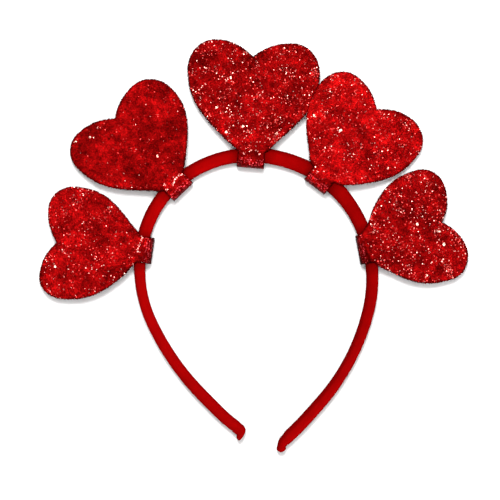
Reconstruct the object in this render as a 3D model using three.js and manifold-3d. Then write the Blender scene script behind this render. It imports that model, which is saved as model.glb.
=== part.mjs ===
// Glitter heart headband, lying flat: a velvet covered hoop with five hearts cut from glitter foam sheet.
// Millimetres, +Z up. X runs across the hoop, Y from its open tips to its crown.

import * as THREE from 'three';
import { mergeVertices } from 'three/addons/utils/BufferGeometryUtils.js';
import Module from 'manifold-3d';

const wasm = await Module();
wasm.setup();

// Driving dimensions
const GAP = 0.3; // clearance between neighbouring pieces
const SHEET = 1.6; // thickness of the glitter foam sheet
const BAND_DEPTH = 7.5; // the hoop's size in Z, across its plane
const BAND_SIDES = 16; // facets round the hoop's section
const BAND_STEPS = 110; // lengths along the hoop
const CROWN = { x: -1.2, y: 45.9, tilt: -0.5 }; // top of the centreline, and its slope there in degrees
const OUTLINE_SEGMENTS = 9; // straight lengths in each curve of a heart's outline
const BEND_SEGMENTS = 6; // straight lengths in each bend of a tab
const END_FOLD_SEGMENTS = 8; // straight lengths in each round end of a folded tip
const MERGE_DISTANCE = 1e-4; // points nearer than this are one point
const SHARPEST_MITRE = 0.5; // limits how far a mitred corner reaches out

// The hoop's centreline from the crown to each tip, as arcs that run smoothly into each other.
// A radius below zero bends outwards.
const HOOP = {
  left: [
    { radius: 56, length: 49.3 },
    { radius: 49, length: 16 },
    { radius: 63.4, length: 51 },
    { radius: 130, length: 45 },
    { radius: 2000, length: 12 },
    { radius: 66, length: 14.2 },
  ],
  right: [
    { radius: 64.4, length: 28 },
    { radius: 56.5, length: 35 },
    { radius: 66, length: 49 },
    { radius: 109, length: 53 },
    { radius: 1260, length: 9 },
    { radius: 132, length: 9 },
    { radius: 300, length: 5.7 },
    { radius: -9, length: 4.25 },
    { radius: 1400, length: 1.6 },
  ],
};

// The hoop's radial width along its length: the place is measured from the crown, negative to the left
const BAND_WIDTHS = [
  { place: -187, width: 5.95 },
  { place: -160, width: 6 },
  { place: -142, width: 5.7 },
  { place: -103, width: 5.4 },
  { place: -60, width: 6.8 },
  { place: -20, width: 6.9 },
  { place: 16, width: 7.6 },
  { place: 45, width: 7.75 },
  { place: 62, width: 7.1 },
  { place: 99, width: 6.15 },
  { place: 141, width: 5.75 },
  { place: 172, width: 6.2 },
  { place: 188, width: 6.25 },
  { place: 194, width: 4.8 },
];

// Hearts, from left to right. place: where the tab crosses the hoop; lean: turn in the plane, in degrees;
// droop: how far the sheet hangs down outwards, in degrees; cleft: height of the cleft;
// cleftAt: how far the cleft is to the right of the heart's middle; flare: fullness above the neck.
// The tab has tab: its width; fold: how far it reaches inwards; twist: its own turn in the plane, in degrees;
// shift: how far it sits to the right of the heart's middle; leftCorner: height of its left corner,
// where it isn't the usual one.
// Each side has neck: half width at the hoop; reach: half width; wide: height of the widest point;
// top and topAt: the lobe's highest point.
// Heights and the fold are measured from the hoop's centreline.
const HEARTS = [
  {
    name: 'heart_left_lower', place: -79.8, lean: 3, droop: 4, cleft: 42, flare: 1.7,
    tab: 12.5, fold: 5.75, twist: 0, shift: 0.45,
    left: { neck: 8.4, reach: 27.6, wide: 37.8, top: 49.2, topAt: 17 },
    right: { neck: 8.9, reach: 28.4, wide: 35, top: 47.8, topAt: 16.8 },
  },
  {
    name: 'heart_left_upper', place: -41, lean: 2, droop: 5, cleft: 44.4, flare: 1.5,
    tab: 12.5, fold: 5.75, twist: 2, shift: -0.5,
    left: { neck: 8.7, reach: 30.5, wide: 40, top: 51.8, topAt: 19 },
    right: { neck: 8.5, reach: 30.7, wide: 35.6, top: 50.2, topAt: 17.4 },
  },
  {
    name: 'heart_centre', place: 0, lean: -0.5, droop: 7, cleft: 49.4, flare: 1.45,
    tab: 13, fold: 6.3, twist: -4.5, shift: 0,
    left: { neck: 8, reach: 32.4, wide: 43, top: 57.9, topAt: 18.8 },
    right: { neck: 8.4, reach: 33.4, wide: 41.3, top: 56.5, topAt: 20 },
  },
  {
    name: 'heart_right_upper', place: 38.8, lean: -1, droop: 0.5, cleft: 43, flare: 1.6,
    tab: 12, fold: 6.2, twist: -1, shift: -1.3,
    left: { neck: 10.3, reach: 30.1, wide: 36.6, top: 50, topAt: 17.7 },
    right: { neck: 10.1, reach: 30.1, wide: 38, top: 49.9, topAt: 17.7 },
  },
  {
    name: 'heart_right_lower', place: 81.1, lean: 3, droop: 6, cleft: 38.8, cleftAt: -2, flare: 1.75,
    tab: 14, fold: 5.75, twist: -1.5, shift: 0, leftCorner: -3.1,
    left: { neck: 13.2, reach: 30.5, wide: 33.7, top: 45.2, topAt: 18.8 },
    right: { neck: 10, reach: 26.5, wide: 35.5, top: 47.1, topAt: 14.2 },
  },
];
const NECK_HEIGHT = 3; // a heart's lower end, above the hoop's outer side
// Handle lengths of the outline's curves, as shares of that side's own sizes
const HANDLES = {
  lowReach: 0.45,
  lowRise: 0.38,
  wideDrop: 0.42,
  lobe: 0.55,
  cleftReach: 0.18,
  cleftRise: 0.35,
};

// The tab's way round the hoop, seen from the side
const TAB = {
  sheet: 1.4, // a little thinner than the sheet, so that it starts inside it
  start: 12, // where the tab's front layer begins, outwards of the hoop's centreline
  bendRadius: 2.2, // middle of the sheet in the two bends of the fold
  backEnd: 4, // where the back layer leaves the surface and climbs to the heart's back
  lapStart: 14, // where it meets the heart's back
  lapEnd: 23, // end of the glued lap
};

// The velvet turned over each tip. across: its length; shift: how far it sits towards the outside
const END_FOLDS = [
  { name: 'end_fold_left', side: 'left', across: 6.7, shift: 1.5 },
  { name: 'end_fold_right', side: 'right', across: 4.7, shift: -0.2 },
];
const END_FOLD = { thickness: 2.3, depth: 6.3, softness: 0.5, softSteps: 2 };

const bandBottom = SHEET + GAP;
const bandMiddle = bandBottom + BAND_DEPTH / 2;
const sheetBottom = bandBottom + BAND_DEPTH + GAP;
const radians = THREE.MathUtils.degToRad;

function lengthOf(arcs) {
  return arcs.reduce((sum, arc) => sum + arc.length, 0);
}

// A point on the hoop's centreline, the direction away from the crown, and the direction out of the hoop
function hoopAt(place) {
  const onRight = place >= 0;
  const turn = onRight ? -1 : 1;
  const point = new THREE.Vector2(CROWN.x, CROWN.y);
  let heading = radians(CROWN.tilt) + (onRight ? 0 : Math.PI);
  let rest = Math.abs(place);
  for (const arc of onRight ? HOOP.right : HOOP.left) {
    const used = Math.min(rest, arc.length);
    const bend = (turn * used) / arc.radius;
    const chord = 2 * arc.radius * Math.sin(used / arc.radius / 2);
    point.x += chord * Math.cos(heading + bend / 2);
    point.y += chord * Math.sin(heading + bend / 2);
    heading += bend;
    rest -= used;
  }
  const outHeading = heading - (turn * Math.PI) / 2;
  return { point, heading, outHeading };
}

function bandWidth(place) {
  const last = BAND_WIDTHS.length - 1;
  const row = BAND_WIDTHS.findIndex((entry) => entry.place >= place);
  if (row === -1) return BAND_WIDTHS[last].width;
  if (row === 0) return BAND_WIDTHS[0].width;
  const before = BAND_WIDTHS[row - 1];
  const after = BAND_WIDTHS[row];
  const blend = THREE.MathUtils.smoothstep(place, before.place, after.place);
  return THREE.MathUtils.lerp(before.width, after.width, blend);
}

function onlyPositions(geometry) {
  const bare = geometry.clone();
  bare.deleteAttribute('normal');
  bare.deleteAttribute('uv');
  bare.clearGroups();
  return mergeVertices(bare, MERGE_DISTANCE);
}

function toSolid(geometry) {
  const closed = onlyPositions(geometry);
  const vertProperties = new Float32Array(closed.attributes.position.array);
  const triVerts = new Uint32Array(closed.index.array);
  return new wasm.Manifold(new wasm.Mesh({ numProp: 3, vertProperties, triVerts }));
}

function toGeometry(solid) {
  const { vertProperties, triVerts } = solid.getMesh();
  const geometry = new THREE.BufferGeometry();
  geometry.setAttribute('position', new THREE.BufferAttribute(vertProperties, 3));
  geometry.setIndex(new THREE.BufferAttribute(triVerts, 1));
  geometry.computeVertexNormals();
  return geometry;
}

function velvet() {
  return new THREE.MeshStandardMaterial({ color: '#b5060f', roughness: 0.95, metalness: 0 });
}

function glitterFoam() {
  return new THREE.MeshStandardMaterial({ color: '#a8040c', roughness: 0.4, metalness: 0.35 });
}

// A straight bar of elliptical section, bent along the hoop
function makeBand() {
  const section = new THREE.Shape();
  section.absellipse(0, 0, 0.5, 0.5, 0, Math.PI * 2, false, 0);
  const tips = { left: -lengthOf(HOOP.left), right: lengthOf(HOOP.right) };
  const bar = new THREE.ExtrudeGeometry(section, {
    depth: tips.right - tips.left,
    steps: BAND_STEPS,
    curveSegments: BAND_SIDES / 2,
    bevelEnabled: false,
  });
  const geometry = onlyPositions(bar);
  const position = geometry.attributes.position;
  for (let i = 0; i < position.count; i += 1) {
    const place = tips.left + position.getZ(i);
    const { point, outHeading } = hoopAt(place);
    const out = position.getX(i) * bandWidth(place);
    const height = bandMiddle + position.getY(i) * BAND_DEPTH;
    position.setXYZ(i, point.x + out * Math.cos(outHeading), point.y + out * Math.sin(outHeading), height);
  }
  geometry.computeVertexNormals();
  const band = new THREE.Mesh(geometry, velvet());
  band.name = 'band';
  return band;
}

// A rounded strip across a tip of the hoop, which stands a little proud on the outside
function makeEndFold({ name, side, across, shift }) {
  const { thickness, depth, softness, softSteps } = END_FOLD;
  const radius = thickness / 2 - softness;
  const halfStraight = across / 2 - softness - radius;
  const outline = new THREE.Shape();
  outline.absarc(halfStraight, 0, radius, -Math.PI / 2, Math.PI / 2);
  outline.absarc(-halfStraight, 0, radius, Math.PI / 2, Math.PI * 1.5);
  const geometry = new THREE.ExtrudeGeometry(outline, {
    depth: depth - 2 * softness,
    curveSegments: END_FOLD_SEGMENTS,
    bevelThickness: softness,
    bevelSize: softness,
    bevelSegments: softSteps,
  });
  const fold = new THREE.Mesh(geometry, velvet());
  fold.name = name;
  const tip = side === 'left' ? -lengthOf(HOOP.left) : lengthOf(HOOP.right);
  const { point, heading, outHeading } = hoopAt(tip);
  const ahead = thickness / 2 + GAP;
  fold.position.set(
    point.x + ahead * Math.cos(heading) + shift * Math.cos(outHeading),
    point.y + ahead * Math.sin(heading) + shift * Math.sin(outHeading),
    bandMiddle - depth / 2 + softness,
  );
  fold.rotation.z = outHeading;
  return fold;
}

// One side of a heart's outline: up from the neck to the cleft on the left, down again on the right
function traceSide(shape, sign, side, { cleft, cleftAt = 0, flare }) {
  const { neck, reach, wide, top, topAt } = side;
  const rise = wide - NECK_HEIGHT;
  const lowest = [sign * neck, NECK_HEIGHT];
  const lowReach = (reach - neck) * HANDLES.lowReach * flare;
  const lowHandle = [sign * (neck + lowReach), NECK_HEIGHT + rise * HANDLES.lowRise];
  const wideBelow = [sign * reach, wide - rise * HANDLES.wideDrop];
  const widest = [sign * reach, wide];
  const wideAbove = [sign * reach, wide + HANDLES.lobe * (top - wide)];
  const topOutside = [sign * (topAt + HANDLES.lobe * (reach - topAt)), top];
  const highest = [sign * topAt, top];
  const topInside = [sign * topAt * (1 - HANDLES.lobe), top];
  const cleftRise = (top - cleft) * HANDLES.cleftRise;
  const cleftHandle = [cleftAt + sign * HANDLES.cleftReach * topAt, cleft + cleftRise];
  const bottom = [cleftAt, cleft];
  if (sign < 0) {
    shape.lineTo(...lowest);
    shape.bezierCurveTo(...lowHandle, ...wideBelow, ...widest);
    shape.bezierCurveTo(...wideAbove, ...topOutside, ...highest);
    shape.bezierCurveTo(...topInside, ...cleftHandle, ...bottom);
  } else {
    shape.bezierCurveTo(...cleftHandle, ...topInside, ...highest);
    shape.bezierCurveTo(...topOutside, ...wideAbove, ...widest);
    shape.bezierCurveTo(...wideBelow, ...lowHandle, ...lowest);
  }
}

function heartSheet(heart) {
  const shape = new THREE.Shape();
  const tabSide = heart.tab / 2;
  const corner = NECK_HEIGHT / 2;
  const { leftCorner = corner } = heart;
  const lean = radians(heart.lean);
  shape.moveTo(heart.shift - tabSide, leftCorner);
  traceSide(shape, -1, heart.left, heart);
  traceSide(shape, 1, heart.right, heart);
  shape.lineTo(heart.shift + tabSide, corner);
  const sheet = new THREE.ExtrudeGeometry(shape, {
    depth: SHEET,
    curveSegments: OUTLINE_SEGMENTS,
    bevelEnabled: false,
  });
  sheet.rotateZ(lean);
  sheet.rotateX(-radians(heart.droop));
  sheet.translate(0, 0, sheetBottom);
  return sheet;
}

// The middle line of the tab, from inside the heart's lower end, over the hoop, round its inner side and back
function tabRoute(heart) {
  const slope = -Math.tan(radians(heart.droop));
  const frontHeight = sheetBottom + SHEET / 2;
  const backHeight = TAB.sheet / 2;
  const radius = TAB.bendRadius;
  const fold = TAB.sheet / 2 - heart.fold;
  const lapHeight = (v) => sheetBottom + v * slope - GAP - TAB.sheet / 2;
  const route = new THREE.Path();
  route.moveTo(TAB.start, frontHeight + TAB.start * slope);
  route.lineTo(0, frontHeight);
  route.absarc(fold + radius, frontHeight - radius, radius, Math.PI / 2, Math.PI);
  route.absarc(fold + radius, backHeight + radius, radius, Math.PI, Math.PI * 1.5);
  route.lineTo(TAB.backEnd, backHeight);
  route.lineTo(TAB.lapStart, lapHeight(TAB.lapStart));
  route.lineTo(TAB.lapEnd, lapHeight(TAB.lapEnd));
  return route.getPoints(BEND_SEGMENTS);
}

// Points beside a route, at one distance from it, with mitred corners
function besideRoute(points, distance) {
  return points.map((point, i) => {
    const before = points[Math.max(i - 1, 0)];
    const after = points[Math.min(i + 1, points.length - 1)];
    const into = i > 0 ? point.clone().sub(before).normalize() : after.clone().sub(point).normalize();
    const outOf = i < points.length - 1 ? after.clone().sub(point).normalize() : into.clone();
    const along = into.clone().add(outOf).normalize();
    const mitre = distance / Math.max(along.dot(into), SHARPEST_MITRE);
    return new THREE.Vector2(point.x - along.y * mitre, point.y + along.x * mitre);
  });
}

function foldedTab(heart) {
  const route = tabRoute(heart);
  const outer = besideRoute(route, -TAB.sheet / 2);
  const inner = besideRoute(route, TAB.sheet / 2).reverse();
  const profile = new THREE.Shape([...outer, ...inner]);
  const tab = new THREE.ExtrudeGeometry(profile, { depth: heart.tab, bevelEnabled: false });
  const acrossHoop = new THREE.Vector3(0, 1, 0);
  const upwards = new THREE.Vector3(0, 0, 1);
  const alongHoop = new THREE.Vector3(1, 0, 0);
  tab.translate(0, 0, -heart.tab / 2);
  tab.applyMatrix4(new THREE.Matrix4().makeBasis(acrossHoop, upwards, alongHoop));
  tab.rotateZ(radians(heart.twist));
  tab.translate(heart.shift, 0, 0);
  return tab;
}

function makeHeart(heart) {
  const solid = toSolid(heartSheet(heart)).add(toSolid(foldedTab(heart)));
  const mesh = new THREE.Mesh(toGeometry(solid), glitterFoam());
  mesh.name = heart.name;
  const { point, outHeading } = hoopAt(heart.place);
  mesh.position.set(point.x, point.y, 0);
  mesh.rotation.z = outHeading - Math.PI / 2;
  return mesh;
}

const headband = new THREE.Group();
headband.add(makeBand());
END_FOLDS.forEach((fold) => headband.add(makeEndFold(fold)));
HEARTS.forEach((heart) => headband.add(makeHeart(heart)));

// The origin is the middle of the underside
const box = new THREE.Box3().setFromObject(headband, true);
const middle = box.getCenter(new THREE.Vector3());
headband.position.set(-middle.x, -middle.y, -box.min.z);

export default headband;
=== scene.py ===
import math

import bpy
import numpy as np
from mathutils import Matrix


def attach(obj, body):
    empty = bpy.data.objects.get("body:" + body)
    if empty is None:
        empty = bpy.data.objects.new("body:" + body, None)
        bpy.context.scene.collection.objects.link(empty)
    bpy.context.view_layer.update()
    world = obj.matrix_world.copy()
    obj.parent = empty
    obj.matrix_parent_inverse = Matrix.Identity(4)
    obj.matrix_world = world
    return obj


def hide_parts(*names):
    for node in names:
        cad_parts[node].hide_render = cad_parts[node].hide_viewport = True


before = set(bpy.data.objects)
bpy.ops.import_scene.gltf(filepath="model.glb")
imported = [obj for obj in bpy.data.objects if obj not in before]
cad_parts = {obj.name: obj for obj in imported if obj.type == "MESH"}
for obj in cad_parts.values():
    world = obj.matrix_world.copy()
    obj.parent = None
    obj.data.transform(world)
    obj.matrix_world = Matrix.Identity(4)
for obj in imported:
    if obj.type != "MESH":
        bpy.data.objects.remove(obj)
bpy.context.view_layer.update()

mm = 0.001  # pieces are shaped in millimetres and laid into the frame in metres


# Small helpers for working by hand

def pick(piece):
    if bpy.context.mode != "OBJECT":
        bpy.ops.object.mode_set(mode="OBJECT")
    bpy.ops.object.select_all(action="DESELECT")
    piece.select_set(True)
    bpy.context.view_layer.objects.active = piece


def added(name):
    piece = bpy.context.active_object
    piece.name = name
    piece.data.name = name
    return piece


def editMesh(piece):
    pick(piece)
    bpy.ops.object.mode_set(mode="EDIT")
    bpy.ops.mesh.select_all(action="SELECT")


def selectEdges(piece, wanted):
    bpy.ops.mesh.select_all(action="DESELECT")
    bpy.ops.mesh.select_mode(type="EDGE")
    bpy.ops.object.mode_set(mode="OBJECT")
    vertices = piece.data.vertices
    for edge in piece.data.edges:
        a, b = (vertices[i].co for i in edge.vertices)
        edge.select = wanted(a, b)
    bpy.ops.object.mode_set(mode="EDIT")


def finishWith(piece, kind, **settings):
    pick(piece)
    modifier = piece.modifiers.new(kind.title(), kind)
    for name, value in settings.items():
        setattr(modifier, name, value)
    bpy.ops.object.modifier_apply(modifier=modifier.name)


def meshPoints(piece):
    co = np.empty(len(piece.data.vertices) * 3)
    piece.data.vertices.foreach_get("co", co)
    return co.reshape(-1, 3)


def markPoints(piece, name, values):
    attribute = piece.data.attributes.new(name, "FLOAT", "POINT")
    attribute.data.foreach_set("value", values.astype(np.float32))


def layPoints(piece, co):
    piece.data.vertices.foreach_set("co", np.ascontiguousarray(co).ravel())
    piece.data.update()


def unit(vectors):
    return vectors / np.linalg.norm(vectors, axis=1)[:, None]


def smoothstep(value, low, high):
    share = np.clip((value - low) / (high - low), 0, 1)
    return share * share * (3 - 2 * share)


# A line of arcs that run into each other, each one a length and the angle it turns through
def followArcs(start, heading, arcs, distance):
    rest = np.array(distance, float)
    x = np.full(rest.shape, float(start[0]))
    y = np.full(rest.shape, float(start[1]))
    turned = np.full(rest.shape, float(heading))
    for length, bend in arcs:
        used = np.minimum(rest, length)
        swing = bend * used / length
        chord = used * np.sinc(swing / (2 * np.pi))
        x += chord * np.cos(turned + swing / 2)
        y += chord * np.sin(turned + swing / 2)
        turned += swing
        rest -= used
    return x + rest * np.cos(turned), y + rest * np.sin(turned), turned


# Node helpers

def newMaterial(name):
    material = bpy.data.materials.new(name)
    material.use_nodes = True
    tree = material.node_tree
    return material, tree, tree.nodes["Principled BSDF"]


# Each input is a value, or a socket to link
def setInputs(tree, node, inputs):
    for label, value in inputs.items():
        if isinstance(value, bpy.types.NodeSocket):
            tree.links.new(value, node.inputs[label])
        else:
            node.inputs[label].default_value = value


def addNode(tree, kind, inputs=None, **settings):
    node = tree.nodes.new(kind)
    for name, value in settings.items():
        setattr(node, name, value)
    setInputs(tree, node, inputs or {})
    return node


def calculate(tree, operation, *values):
    return addNode(tree, "ShaderNodeMath", dict(enumerate(values)), operation=operation).outputs[0]


def scaleVector(tree, vector, scale):
    return addNode(tree, "ShaderNodeVectorMath", {0: vector, "Scale": scale}, operation="SCALE").outputs[0]


def newGroup(name, inputs, outputs):
    group = bpy.data.node_groups.new(name, "ShaderNodeTree")
    for label, value in inputs.items():
        socket = group.interface.new_socket(name=label, in_out="INPUT", socket_type="NodeSocketFloat")
        socket.default_value = value
    for label, kind in outputs.items():
        group.interface.new_socket(name=label, in_out="OUTPUT", socket_type=kind)
    return group, group.nodes.new("NodeGroupInput"), group.nodes.new("NodeGroupOutput")


def useGroup(tree, group, values):
    return addNode(tree, "ShaderNodeGroup", values, node_tree=group)


# Object coordinates divided by a size in millimetres
def sizedCoordinates(tree, size):
    place = addNode(tree, "ShaderNodeTexCoord")
    return scaleVector(tree, place.outputs["Object"], calculate(tree, "DIVIDE", 1 / mm, size))


patchNoise = {
    "noise": {"Scale": 1.0, "Detail": 2.5, "Roughness": 0.6},
    "turn": (0.7, 0.5, 0.6),  # so that no rows show
    "range": {"From Min": 0.3, "From Max": 0.7, "To Min": -1.0},
    "base": 2.0,
}


# Soft light and dark patches, as a shade that doubles and halves by Strength
def makePatches():
    group, given, result = newGroup(
        "softPatches", {"Size": 5.0, "Strength": 0.3}, {"Shade": "NodeSocketFloat"})
    place = sizedCoordinates(group, given.outputs["Size"])
    turned = addNode(group, "ShaderNodeVectorRotate", {"Vector": place, "Rotation": patchNoise["turn"]},
                     rotation_type="EULER_XYZ")
    noise = addNode(group, "ShaderNodeTexNoise", {"Vector": turned.outputs[0], **patchNoise["noise"]})
    centred = addNode(group, "ShaderNodeMapRange", {"Value": noise.outputs["Fac"], **patchNoise["range"]})
    exponent = calculate(group, "MULTIPLY", centred.outputs["Result"], given.outputs["Strength"])
    setInputs(group, result, {"Shade": calculate(group, "POWER", patchNoise["base"], exponent)})
    return group


grainNoise = {"Scale": 1.0, "Detail": 4.0, "Roughness": 0.7}


# Fine grain: a height for a bump, and a shade round 1
def makeGrain():
    group, given, result = newGroup(
        "fineGrain", {"Size": 0.5, "Strength": 0.2},
        {"Height": "NodeSocketFloat", "Shade": "NodeSocketFloat"})
    place = sizedCoordinates(group, given.outputs["Size"])
    height = addNode(group, "ShaderNodeTexNoise", {"Vector": place, **grainNoise}).outputs["Fac"]
    centred = calculate(group, "SUBTRACT", height, 0.5)
    shade = calculate(group, "MULTIPLY_ADD", centred, given.outputs["Strength"], 1.0)
    setInputs(group, result, {"Height": height, "Shade": shade})
    return group


facetShade = {"To Min": 0.55, "To Max": 1.35}


# Glitter too fine to model: tiny cells, each with a tilt and a shade of its own
def makeFacets():
    group, given, result = newGroup(
        "fineFacets", {"Size": 0.5, "Tilt": 0.4},
        {"Normal": "NodeSocketVector", "Shade": "NodeSocketFloat"})
    place = sizedCoordinates(group, given.outputs["Size"])
    cell = addNode(group, "ShaderNodeTexVoronoi", {"Vector": place, "Scale": 1.0}).outputs["Color"]
    centred = addNode(group, "ShaderNodeVectorMath", {0: cell, 1: (0.5, 0.5, 0.5)}, operation="SUBTRACT")
    tilted = scaleVector(group, centred.outputs[0], given.outputs["Tilt"])
    surface = addNode(group, "ShaderNodeNewGeometry").outputs["Normal"]
    summed = addNode(group, "ShaderNodeVectorMath", {0: surface, 1: tilted}, operation="ADD")
    normal = addNode(group, "ShaderNodeVectorMath", {0: summed.outputs[0]}, operation="NORMALIZE")
    parts = addNode(group, "ShaderNodeSeparateColor", {0: cell})
    shade = addNode(group, "ShaderNodeMapRange", {"Value": parts.outputs[2], **facetShade})
    setInputs(group, result, {"Normal": normal.outputs[0], "Shade": shade.outputs["Result"]})
    return group


paintedPileShadeRamps = {
    "lie": (0.55, -0.83, 0.0),  # the way the painted shade lies: lighter on surfaces facing this way, darker on those facing away
    "against": (-0.75, 0.0),  # how far the surface faces that way, at both ends of each ramp
    "along": (0.0, 0.7),
    "edge": (0.05, 0.4),  # how far it faces up
}


# Painted shade and highlight fixed to the world's directions: darker against the lie, lighter along it,
# darker where the edge turns
def makePaintedPileShade():
    group, given, result = newGroup(
        "paintedPileShade", {"Against": 0.3, "Along": 1.4, "Edge": 0.4}, {"Shade": "NodeSocketFloat"})
    normal = addNode(group, "ShaderNodeNewGeometry").outputs["Normal"]
    lie = addNode(group, "ShaderNodeVectorMath", {0: normal, 1: paintedPileShadeRamps["lie"]}, operation="DOT_PRODUCT")
    parts = addNode(group, "ShaderNodeSeparateXYZ", {0: normal})
    shade = 1.0
    for value, (low, high), label, end in (
            (lie.outputs["Value"], paintedPileShadeRamps["against"], "Against", "To Min"),
            (lie.outputs["Value"], paintedPileShadeRamps["along"], "Along", "To Max"),
            (parts.outputs["Z"], paintedPileShadeRamps["edge"], "Edge", "To Min")):
        inputs = {"Value": value, "From Min": low, "From Max": high, "To Min": 1.0}
        inputs[end] = given.outputs[label]
        ramp = addNode(group, "ShaderNodeMapRange", inputs, interpolation_type="SMOOTHSTEP")
        shade = calculate(group, "MULTIPLY", shade, ramp.outputs["Result"])
    setInputs(group, result, {"Shade": shade})
    return group


patchesGroup = makePatches()
grainGroup = makeGrain()
facetsGroup = makeFacets()
paintedPileShadeGroup = makePaintedPileShade()


# A colour times one or more shades
def shaded(tree, colour, shades):
    for shade in shades:
        colour = scaleVector(tree, colour, shade)
    return colour


def bumped(tree, height, depth, strength):
    bump = addNode(tree, "ShaderNodeBump", {"Strength": strength, "Distance": depth * mm, "Height": height})
    return bump.outputs["Normal"]


velvetLook = {
    "colour": (0.25, 0.0006, 0.0008),
    "patch": {"Size": 6.0, "Strength": 0.14},
    "nap": {"Size": 0.22, "Strength": 0.6},
    "napDepth": 0.06,
    "napStrength": 0.5,
    # painted shade and highlight by the way the surface faces
    "paintedShadeByFacing": {"Against": 0.66, "Along": 1.35, "Edge": 0.45},
    "finish": {"Roughness": 1.0, "Specular IOR Level": 0.0, "Sheen Weight": 0.08, "Sheen Roughness": 0.45,
               "Sheen Tint": (1.0, 0.01, 0.02, 1.0)},
}


def makeVelvet():
    look = velvetLook
    material, tree, shader = newMaterial("velvet")
    patches = useGroup(tree, patchesGroup, look["patch"])
    nap = useGroup(tree, grainGroup, look["nap"])
    # painted shade and highlight by the way the surface faces
    paintedShadeByFacing = useGroup(tree, paintedPileShadeGroup, look["paintedShadeByFacing"])
    # painted shadow beside the tabs, and the velvet made lighter or darker along the hoop
    paintedShadowAndTone = addNode(tree, "ShaderNodeAttribute", attribute_name="paintedShadowAndTone")
    shadowAndToneFactor = calculate(tree, "SUBTRACT", 1.0, paintedShadowAndTone.outputs["Fac"])
    shades = [effect.outputs["Shade"] for effect in (patches, nap, paintedShadeByFacing)]
    colour = shaded(tree, look["colour"], shades + [shadowAndToneFactor])
    normal = bumped(tree, nap.outputs["Height"], look["napDepth"], look["napStrength"])
    setInputs(tree, shader, {"Base Color": colour, "Normal": normal, **look["finish"]})
    return material


glitterLook = {
    "base": (0.15, 0.0010, 0.0012),
    "broad": {"Size": 9.0, "Strength": 0.8},
    "close": {"Size": 3.0, "Strength": 0.65},
    "facet": {"Size": 0.45, "Tilt": 0.35},
    "bed": {"Metallic": 0.3, "Roughness": 0.45, "Specular IOR Level": 0.0},
    "flake": {"Metallic": 0.3, "Roughness": 0.4, "Specular IOR Level": 0.0},
    "spark": {"Metallic": 1.0, "Roughness": 0.45, "Specular IOR Level": 0.0},
}


# The glittered face under the flakes
def makeGlitterBed():
    look = glitterLook
    material, tree, shader = newMaterial("glitter_bed")
    broad = useGroup(tree, patchesGroup, look["broad"])
    close = useGroup(tree, patchesGroup, look["close"])
    facets = useGroup(tree, facetsGroup, look["facet"])
    # the heart's tone times the fold's painted shade, set on the foam
    tone = addNode(tree, "ShaderNodeAttribute", attribute_name="glitterToneAndShade")
    shades = [effect.outputs["Shade"] for effect in (broad, close, facets)]
    colour = shaded(tree, look["base"], shades + [tone.outputs["Fac"]])
    setInputs(tree, shader, {"Base Color": colour, "Normal": facets.outputs["Normal"], **look["bed"]})
    return material


def makeFlakes():
    look = glitterLook
    material, tree, shader = newMaterial("glitter_flakes")
    own = addNode(tree, "ShaderNodeAttribute", attribute_name="flakeColour")
    broad = useGroup(tree, patchesGroup, look["broad"])
    close = useGroup(tree, patchesGroup, look["close"])
    colour = shaded(tree, own.outputs["Color"], [broad.outputs["Shade"], close.outputs["Shade"]])
    setInputs(tree, shader, {"Base Color": colour, **look["flake"]})
    return material


# The few bright flakes, metallic, whose pale colours are partly painted sparkle highlights
def makeSparks():
    material, tree, shader = newMaterial("glitter_sparks")
    own = addNode(tree, "ShaderNodeAttribute", attribute_name="flakeColour")
    setInputs(tree, shader, {"Base Color": own.outputs["Color"], **glitterLook["spark"]})
    return material


foamLook = {
    "colour": (0.13, 0.0025, 0.0035),
    "patch": {"Size": 9.0, "Strength": 0.12},
    "pores": {"Size": 0.35, "Strength": 0.5},
    "poreDepth": 0.08,
    "poreStrength": 0.6,
    "finish": {"Roughness": 0.8, "Specular IOR Level": 0.15},
}


# Bare foam, on the back and along the cut edges
def makeFoam():
    look = foamLook
    material, tree, shader = newMaterial("foam")
    patches = useGroup(tree, patchesGroup, look["patch"])
    pores = useGroup(tree, grainGroup, look["pores"])
    colour = shaded(tree, look["colour"], [patches.outputs["Shade"], pores.outputs["Shade"]])
    normal = bumped(tree, pores.outputs["Height"], look["poreDepth"], look["poreStrength"])
    setInputs(tree, shader, {"Base Color": colour, "Normal": normal, **look["finish"]})
    return material


velvet = makeVelvet()
glitterBed = makeGlitterBed()
flakeFinish = makeFlakes()
sparkFinish = makeSparks()
foam = makeFoam()
print("materials ready")


# The hoop's centreline, from the crown to each tip, and the velvet rod along it
hoop = {
    "crown": (-1.312, 45.4638),
    "tilt": -0.5,  # slope at the crown, in degrees
    # radius and length of each arc; a radius below zero bends outwards
    "left": [(56, 49.3), (49, 16), (63.4, 51), (130, 45), (2000, 12), (66, 14.2)],
    "right": [(64.4, 28), (56.5, 35), (66, 49), (109, 53), (1260, 9), (132, 9), (300, 5.7), (-9, 4.25),
              (1400, 1.6)],
    # place and width
    "widths": [(-187, 5.95), (-160, 6.0), (-142, 5.7), (-103, 5.4), (-60, 6.8), (-20, 6.9), (16, 7.6),
               (45, 7.75), (62, 7.1), (99, 6.15), (141, 5.75), (172, 6.2), (188, 6.25), (194, 4.8)],
    "depth": 7.5,
    "bottom": 1.9,
    "squareness": 2.4,  # 2 is an ellipse
    "sides": 32,
    "cuts": 210,
    "smoothAngle": 60,
    "short": 2.9,  # the turned velvet covers the rod's last millimetres
    # place and half width of each tab, beside which the velvet gets a painted shadow
    "tabs": [(-79.8, 6.25), (-41.4, 6.25), (0, 6.5), (37.6, 6.2), (81.1, 7)],
    "paintedShadowAndTone": 0.5,  # how much darker the painted shadow makes the velvet there
    "paintedShadowReach": 5.5,
    # place along the hoop, and how much brighter the velvet is made there
    "brightening": [(-150, 0.07), (-112, 0.18), (-62, 0.07), (-22, 0.15), (18, 0.03), (62, -0.13), (120, -0.1),
                (160, 0.0)],
}


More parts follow.
